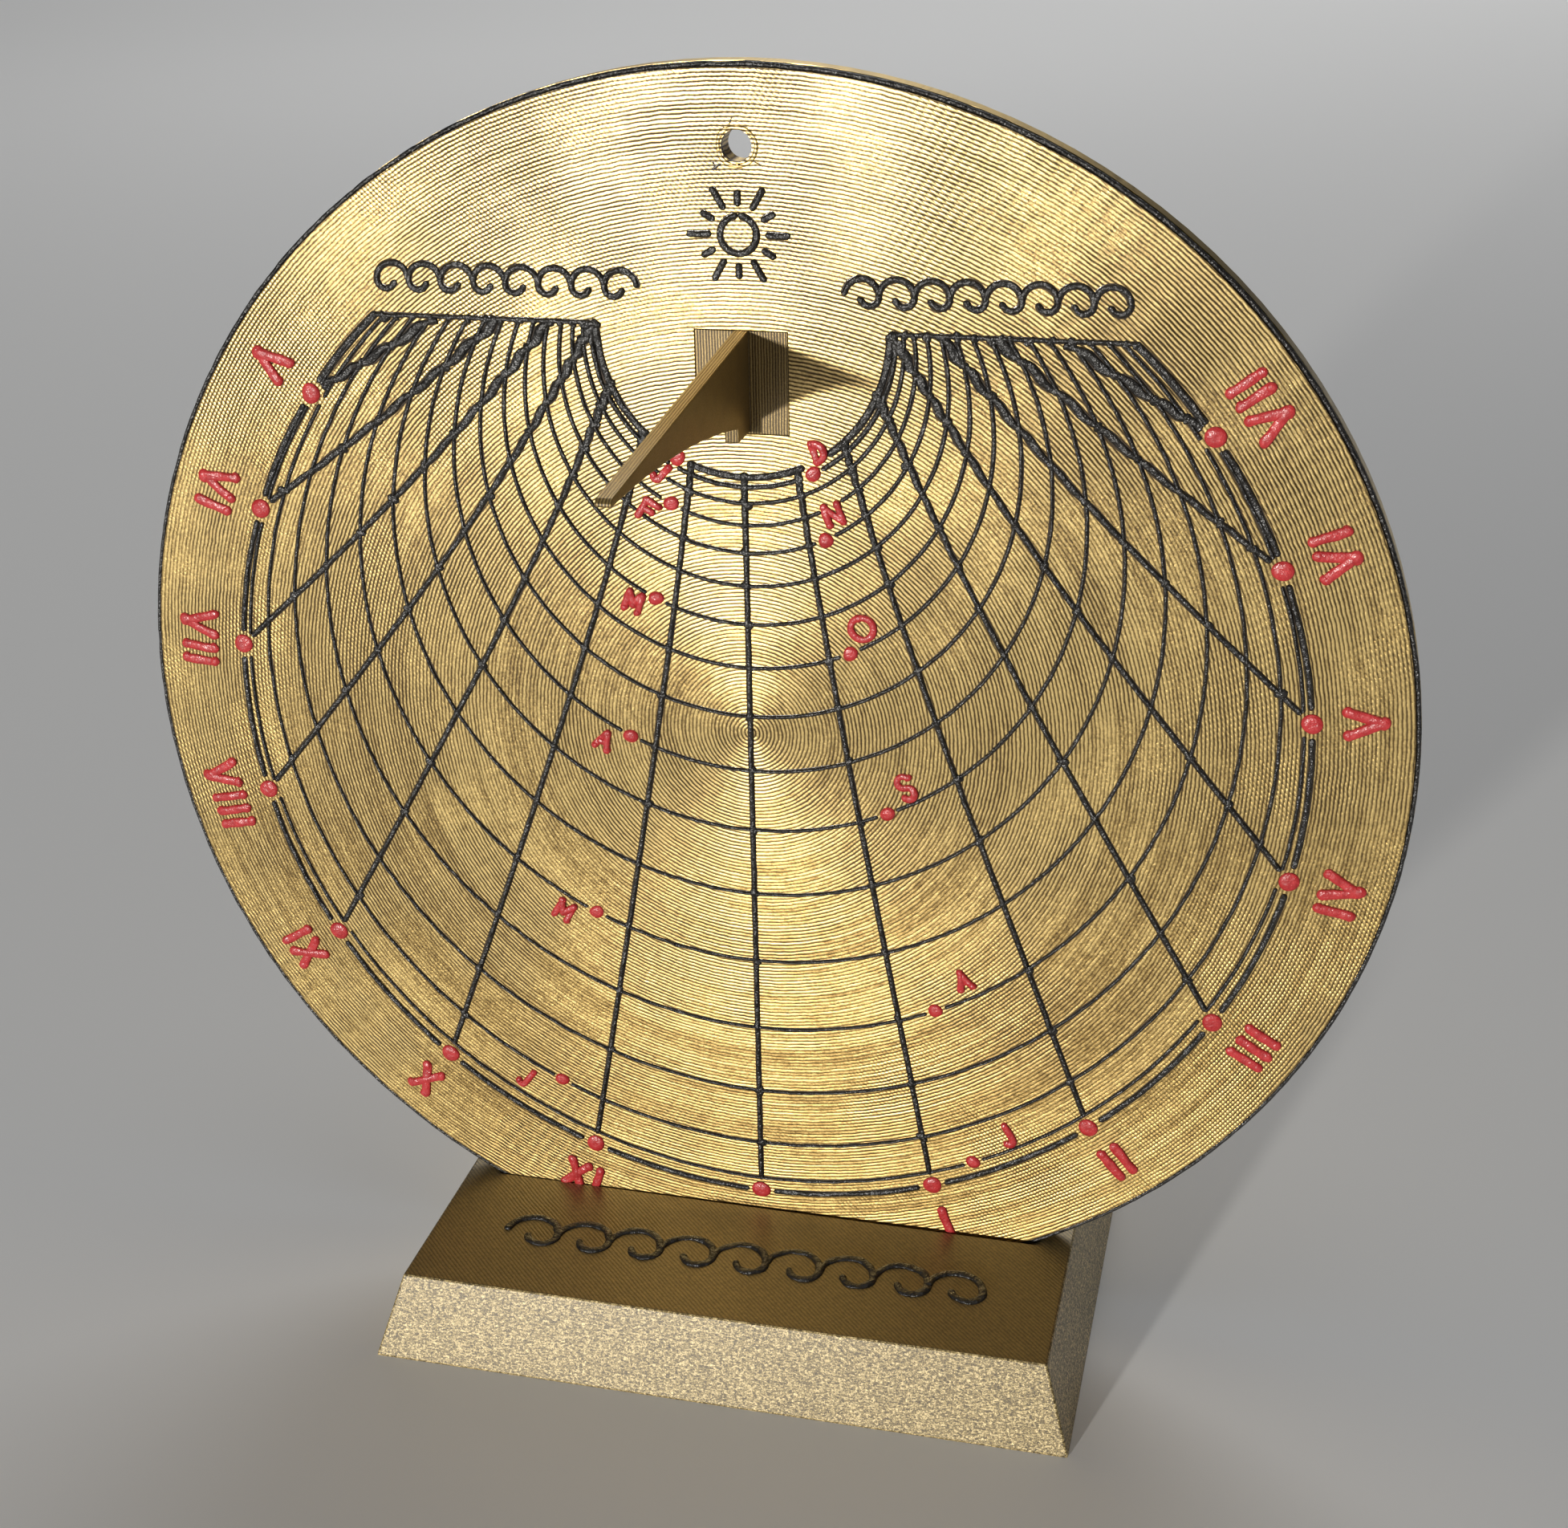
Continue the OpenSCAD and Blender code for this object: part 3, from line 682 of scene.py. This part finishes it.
def numeral(hour, node):
    """An hour's numeral beyond its dot, with its foot towards the plate's centre."""
    text = ROMAN[hour % 12]
    mark = hour_mark(hour)
    turn = np.degrees(np.arctan2(mark[0], -mark[1]))
    radius = RING_R + HOUR_DOT_R + NUMERAL_GAP + NUMERAL_H / 2
    total = sum(ADVANCE[c] for c in text)
    beads = Beads(SEED + 40 + hour, 0.9, RED_CROWN)
    pen = 0.0
    for c in text:
        middle = (pen + ADVANCE[c] / 2 - total / 2) * NUMERAL_H
        pen += ADVANCE[c]
        for stroke in roman_strokes(c, (ADVANCE[c] - ADVANCE_GAP) * NUMERAL_H, NUMERAL_H - NUMERAL_W):
            path = turned(np.array(stroke) + (middle, -radius), turn)
            red_stroke(beads, path, NUMERAL_W, APEX_BLOB)
    beads.build(node + "_bead", RED_SLOT, RED, [node])


def extend(path, by):
    """A stroke's ends run on by half its width, because its bead is rounded within them."""
    path = np.array(path, float)
    first, last = path[0] - path[1], path[-1] - path[-2]
    path[0] += first / np.linalg.norm(first) * by
    path[-1] += last / np.linalg.norm(last) * by
    return path


for hour in HOURS:
    if hour != NOON:
        half_day = "morning" if hour < NOON else "afternoon"
        numeral(hour, f"numeral_{(hour - 1) % 12 + 1}_{half_day}")

dots = Beads(SEED + 1)
for hour in HOURS:
    dots.drop(hour_mark(hour), HOUR_DOT_R, RED_BEAD_H, dimple=0.07, uneven=0.03)
dots.build("hour_dot_beads", RED_SLOT, RED, ["hour_dots"])

dots = Beads(SEED + 2)
for month in MONTHS.values():
    dots.drop(month_dot(month), MONTH_DOT_R, RED_BEAD_H, dimple=0.05)
dots.build("month_dot_beads", RED_SLOT, RED, ["month_dots"])

for i, (name, month) in enumerate(MONTHS.items()):
    beads = Beads(SEED + 60 + i, 1.3, RED_CROWN)
    for path in month_strokes(month):
        red_stroke(beads, path, LETTER_W)
    beads.build(f"letter_{name}_bead", RED_SLOT, RED, [f"letter_{name}"])


# Black lines.
def rooms():
    """Circles that the black lines keep out of, round the red marks."""
    for hour in HOURS:
        yield hour_mark(hour), HOUR_DOT_R + MARK_GAP
    for month in MONTHS.values():
        yield month_dot(month), MONTH_DOT_R + 0.6 * MARK_GAP
        for stroke in month_strokes(month):
            for point in resample(stroke, 0.2)[0]:
                yield point, LETTER_W / 2


ROOMS = list(rooms())
SHORTEST_RUN = 8


def cut_runs(path):
    """The stretches of a path that lie below the horizon lines and outside the red marks."""
    fine = resample(path, 0.1)[0]
    keep = fine[:, 1] < HORIZON_Y + 0.2
    for centre, radius in ROOMS:
        keep &= np.linalg.norm(fine - centre, axis=1) > radius
    runs, start = [], None
    for i, k in enumerate(np.r_[keep, False]):
        if k and start is None:
            start = i
        if not k and start is not None:
            if i - start > SHORTEST_RUN:
                runs.append(fine[start:i])
            start = None
    return runs


def date_path(lon):
    """A date circle from its left end round the bottom to its right end."""
    r, c = date_radius(lon), date_centre(lon)
    a = np.linspace(-1.5 * np.pi, 0.5 * np.pi, 721)
    return np.c_[r * np.cos(a), c + r * np.sin(a)]


def hour_path(hour):
    """An hour line from the horizon to the midsummer ring."""
    start = sunrise_lon(hour)
    return np.array([hour_point(lon, hour) for lon in np.linspace(start, 90, 60)])


# How far below the horizon the crowd of lines reaches, how much wider the date lines are
# there, and how much the hour lines swell, thin and sway.
CROWD_DEPTH = 28
CROWD_WIDER = 0.12
ROPE_SWELL, ROPE_THIN, ROPE_SWAY = 1.1, 0.08, 0.24
DATE_STEP = 10


def crowding(points):
    """From 0 low on the plate to 1 under the horizon lines, where the lines crowd together."""
    return np.clip((points[:, 1] - (HORIZON_Y - CROWD_DEPTH)) / CROWD_DEPTH, 0, 1) ** 1.4


def crowded(points):
    """How much wider a date line is in the crowd."""
    return 1 + CROWD_WIDER * crowding(points)


class Rope:
    """An hour line swells and slants between the date lines that it crosses in the crowd."""

    def __init__(self, hour):
        self.lons = np.linspace(sunrise_lon(hour), 90, 400)
        self.table = np.array([hour_point(lon, hour) for lon in self.lons])
        self.side = np.sign(hour - NOON)

    def phase(self, points):
        """How far each point lies between two date lines, from 0 to 1."""
        gap = np.linalg.norm(points[:, None] - self.table[None], axis=2)
        return self.lons[np.argmin(gap, axis=1)] / DATE_STEP % 1

    def swell(self, points):
        wave = ROPE_SWELL * np.sin(np.pi * self.phase(points))
        return 1 + crowding(points) * (wave - ROPE_THIN)

    def sway(self, points):
        wave = np.sin(2 * np.pi * self.phase(points))
        return ROPE_SWAY * self.side * crowding(points) * wave


DATE_LONS = range(-80, 81, DATE_STEP)
date_beads, ring_beads, hour_beads = Beads(SEED + 3), Beads(SEED + 4), Beads(SEED + 5)
# Strips of painted shade beside the black lines, for their grooves, and the scratch marks by the hole.
shade_strips_and_scratches = Beads(SEED + 6, 0.4)


def line(beads, path, width, height, swell=crowded, sway=None):
    """A black line, run by run, with a wider strip of painted shade under it for the shade in its
    grooves.
    """
    for run in cut_runs(path):
        beads.stroke(run, width, height, step=0.35, swell=swell, sway=sway)
        shade_strips_and_scratches.stroke(run, width + 2 * SHADE_STRIP_EDGE, PAINTED_STRIP_H, step=0.7, swell=swell, sway=sway)


# The innermost date circles are heavier: the print ran their strokes together.
INNER_WIDER = {-80: 1.9, -70: 1.25}
for lon in DATE_LONS:
    line(date_beads, date_path(lon), DATE_BEAD_W * INNER_WIDER.get(lon, 1.0), BLACK_BEAD_H * 0.85)
line(ring_beads, date_path(90), RING_BEAD_W, BLACK_BEAD_H)
for hour in HOURS:
    rope = Rope(hour)
    line(hour_beads, hour_path(hour), HOUR_BEAD_W, BLACK_BEAD_H, rope.swell, rope.sway)

# Blobs where the lines cross, and where they run into the horizon lines.
CROSSING_BLOB, HORIZON_BLOB, BLOB_ROOM = (0.46, 0.66), (0.4, 0.7), 0.5
blob_size = np.random.default_rng(SEED + 9)
for hour in HOURS:
    for lon in DATE_LONS:
        if lon < sunrise_lon(hour) - 0.1:
            continue
        at = hour_point(lon, hour)
        near_mark = any(np.linalg.norm(at - c) < r + BLOB_ROOM for c, r in ROOMS)
        if near_mark or at[1] > HORIZON_Y - BLOB_ROOM:
            continue
        size = blob_size.uniform(*CROSSING_BLOB)
        hour_beads.drop(at, size, BLACK_BEAD_H * 1.15, sides=12, uneven=0.16)
for lon in DATE_LONS:
    away = np.sqrt(max(0.0, date_radius(lon) ** 2 - (HORIZON_Y - date_centre(lon)) ** 2))
    for side in (-1, 1):
        size = blob_size.uniform(*HORIZON_BLOB)
        hour_beads.drop((side * away, HORIZON_Y + 0.1), size, BLACK_BEAD_H * 1.1, sides=12, uneven=0.18)

date_beads.build("date_line_beads", BLACK_SLOT, BLACK, ["date_lines"])
ring_beads.build("hour_ring_beads", BLACK_SLOT, BLACK, ["hour_ring"])
hour_beads.build("hour_line_beads", BLACK_SLOT, BLACK, ["hour_lines"])

inner = np.sqrt(date_radius(-80) ** 2 - (HORIZON_Y - date_centre(-80)) ** 2)
outer = np.sqrt(RING_R ** 2 - HORIZON_Y ** 2)
lift = HORIZON_Y + HORIZON_BEAD_W / 2
for side, node in ((-1, "horizon_line_left"), (1, "horizon_line_right")):
    path = extend([(side * inner, lift), (side * outer, lift)], HORIZON_BEAD_W / 2)
    beads = Beads(SEED + 10 + side)
    beads.stroke(path, HORIZON_BEAD_W, BLACK_BEAD_H)
    shade_strips_and_scratches.stroke(path, HORIZON_BEAD_W + 2 * SHADE_STRIP_EDGE, PAINTED_STRIP_H, step=1.0)
    beads.build(node + "_bead", BLACK_SLOT, BLACK, [node])


# Ornament.
def scroll_paths(count, r):
    """Wave crests in a row, each with a curl that turns in under it."""
    curl = r * SCROLL_CURL
    for i in range(count):
        x = (2 * i + 1 - count) * r
        yield np.r_[arc_points(r, 180, 0, (x, 0)), arc_points(curl, -4, -180, (x + r - curl, 0))]


def ornament(node, seed, paths):
    """Black strokes on the face, each on a wider strip of painted shade for the shade in its groove."""
    beads = Beads(seed, 1.2)
    for path in paths:
        beads.stroke(path, FACE_STROKE_W, BLACK_BEAD_H, step=0.25)
        shade_strips_and_scratches.stroke(path, FACE_STROKE_W + 2 * SHADE_STRIP_EDGE, PAINTED_STRIP_H, step=0.5)
    beads.build(node + "_bead", BLACK_SLOT, BLACK, [node])


SCROLL_END_GAP = 1.0
scroll_middle = outer - SCROLL_COUNT * SCROLL_R - SCROLL_END_GAP
for side, node in ((-1, "scroll_left"), (1, "scroll_right")):
    crests = [np.c_[side * (path[:, 0] + scroll_middle), path[:, 1] + HORIZON_Y + SCROLL_LIFT]
              for path in scroll_paths(SCROLL_COUNT, SCROLL_R)]
    ornament(node, SEED + 20 + side, crests)

SUN_Y = HORIZON_Y + SUN_LIFT
RAYS, RAY_GAP, LONG_RAY, SHORT_RAY = 12, 1.3, 2.1, 1.1
sun_paths = [arc_points(SUN_R, 90, 450, (0, SUN_Y))]
for i in range(RAYS):
    a = 2 * np.pi * i / RAYS
    reach = SUN_R + RAY_GAP + (LONG_RAY if i % 2 == 0 else SHORT_RAY)
    ray = np.outer((SUN_R + RAY_GAP, reach), (np.cos(a), np.sin(a))) + (0, SUN_Y)
    sun_paths.append(extend(ray, FACE_STROKE_W / 2))
ornament("small_sun", SEED + 25, sun_paths)

# The hanging hole has a raised uneven lip, and scratches beside it: first point, last
# point and width of each, from the hole's centre.
LIP_GAP, LIP_W, LIP_H = 0.3, 0.5, 0.14
lip = Beads(SEED + 26, 2.0)
lip.stroke(arc_points(HOLE_R + LIP_GAP, -90, 270, (0, HOLE_Y)), LIP_W, LIP_H, step=0.25, cap=False)
lip.build("hanging_hole_lip", GOLD_SLOT, BACK_GOLD)
SCRATCHES = (((-1.7, -1.8), (-2.7, -2.5), 0.3), ((-2.6, -1.6), (-2.2, -2.6), 0.22),
             ((-1.9, 1.2), (-1.2, 1.9), 0.24), ((-0.7, 2.2), (-0.4, 2.9), 0.16),
             ((1.8, -1.5), (2.7, -1.9), 0.14))
for first, last, width in SCRATCHES:
    shade_strips_and_scratches.stroke(np.array((first, last)) + (0, HOLE_Y), width, PAINTED_STRIP_H, step=0.2)
shade_strips_and_scratches.build("painted_groove_shade_and_scratches", GOLD_SLOT, PAINTED_SHADE_AND_SCRATCHES)

# The black layer's outermost stroke bulges up beside the face's edge.
RIM_GAP, RIM_SINK = 0.02, 0.06
rim = Beads(SEED + 27, 0.7)
rim_w = BACK_R - FACE_R - 2 * RIM_GAP
rim_path = arc_points(FACE_R + rim_w / 2 + RIM_GAP, -90, 270, step=1.0)
rim.stroke(rim_path, rim_w, BLACK_DEPTH - RIM_SINK, step=0.8, base=-BLACK_DEPTH, cap=False)
rim.build("plate_rim_bead", BLACK_SLOT, BLACK)

beads = Beads(SEED + 30, 1.3)
for path in scroll_paths(PLINTH_SCROLL_COUNT, PLINTH_SCROLL_R):
    beads.stroke(path, PLINTH_STROKE_W, BLACK_BEAD_H, step=0.3)
beads.build("plinth_scroll_bead", BLACK_SLOT, BLACK, ["plinth_scroll"], body="stand", place=on_plinth)


# Gnomon and plinth.
SHARP_ANGLE = 30


def edged_copy(node, name, material, body, width):
    """A node's own form with its sharp edges softened, as a nozzle leaves them."""
    source = nodes[node]
    mesh = source.data.copy()
    mesh.name = name
    obj = bpy.data.objects.new(name, mesh)
    bpy.context.scene.collection.objects.link(obj)
    mesh.materials.clear()
    mesh.materials.append(material)
    bm = bmesh.new()
    bm.from_mesh(mesh)
    bmesh.ops.remove_doubles(bm, verts=bm.verts, dist=1e-6)
    bmesh.ops.dissolve_limit(bm, angle_limit=np.radians(1), verts=bm.verts, edges=bm.edges)
    shared = [e for e in bm.edges if len(e.link_faces) == 2]
    sharp = [e for e in shared if e.calc_face_angle(0) > np.radians(SHARP_ANGLE)]
    bmesh.ops.bevel(bm, geom=sharp, offset=width * MM, segments=2, affect="EDGES", profile=0.6,
                    clamp_overlap=True)
    bm.to_mesh(mesh)
    bm.free()
    mesh.shade_smooth()
    smooth = obj.modifiers.new("even_normals", "WEIGHTED_NORMAL")
    smooth.keep_sharp = True
    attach(obj, body)
    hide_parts(node)


edged_copy("gnomon", "gnomon_print", FIN_GOLD, "gnomon", 0.15)
edged_copy("plinth", "plinth_print", BLOCK_GOLD, "stand", 0.3)


# Stage, light and camera.
def plain_material(name, colour, roughness):
    n = Nodes(name)
    return n.finish(Base_Color=(*colour, 1), Roughness=roughness)


bpy.ops.mesh.primitive_plane_add(size=8, location=(0, 1.0, 0))
floor = bpy.context.object
floor.name = "floor"
floor.data.materials.append(plain_material("floor_paper", (0.84, 0.84, 0.83), 0.85))


def area_light(name, place, aim, size, power, colour=(1, 1, 1)):
    data = bpy.data.lights.new(name, "AREA")
    data.shape = "DISK"
    data.size = size
    data.energy = power
    data.color = colour
    obj = bpy.data.objects.new(name, data)
    obj.location = place
    obj.rotation_euler = (Vector(aim) - Vector(place)).to_track_quat("-Z", "Y").to_euler()
    bpy.context.scene.collection.objects.link(obj)


centre = Vector((0, 0, DISC_Z))
# The key comes from the reader's left at the low height that the gnomon's shadow shows.
KEY_WAY = Vector((-0.279, -0.96, 0.05)).normalized()
KEY_DISTANCE = 1.6
area_light("key", centre + KEY_WAY * KEY_DISTANCE, centre, 0.07, 25, (1.0, 0.97, 0.92))
area_light("sky", (0.1, -0.1, 1.5), centre, 1.0, 2.2)
area_light("behind", (-0.4, 1.2, 0.9), centre, 0.8, 1.5)
area_light("far_floor", (0, 2.6, 2.2), (0, 3.2, 0), 2.5, 45)

world = bpy.data.worlds.new("studio")
bpy.context.scene.world = world
world.use_nodes = True
background = world.node_tree.nodes["Background"]
background.inputs["Color"].default_value = (0.9, 0.93, 1.0, 1)
background.inputs["Strength"].default_value = 0.05
bpy.context.scene.view_settings.view_transform = "Standard"

# Camera solved from the photograph: its place in plate coordinates, its axes, and its
# focal length in pixels of the 1954 wide frame.
PHOTO_WIDTH = 1954
FOCAL_PX = 2803
CAMERA_AT = (62.3, 104.3, 233.5)
CAMERA_RIGHT = (0.9718, -0.0166, -0.2351)
CAMERA_DOWN = (0.0815, -0.9123, 0.4013)


def plate_direction(v):
    """A direction in plate coordinates, turned into the row frame."""
    return Vector((v[0], -v[2], v[1]))


right = plate_direction(CAMERA_RIGHT).normalized()
down = plate_direction(CAMERA_DOWN)
down = (down - right * down.dot(right)).normalized()
forward = right.cross(down)
camera_data = bpy.data.cameras.new("camera")
camera = bpy.data.objects.new("camera", camera_data)
bpy.context.scene.collection.objects.link(camera)
bpy.context.scene.camera = camera
camera_data.sensor_width = 36
camera_data.lens = FOCAL_PX / PHOTO_WIDTH * camera_data.sensor_width
camera_data.clip_start = 0.01
place = on_plate([CAMERA_AT])[0]
axes = Matrix((right, -down, -forward)).transposed()
camera.matrix_world = Matrix.Translation(Vector(place)) @ axes.to_4x4()
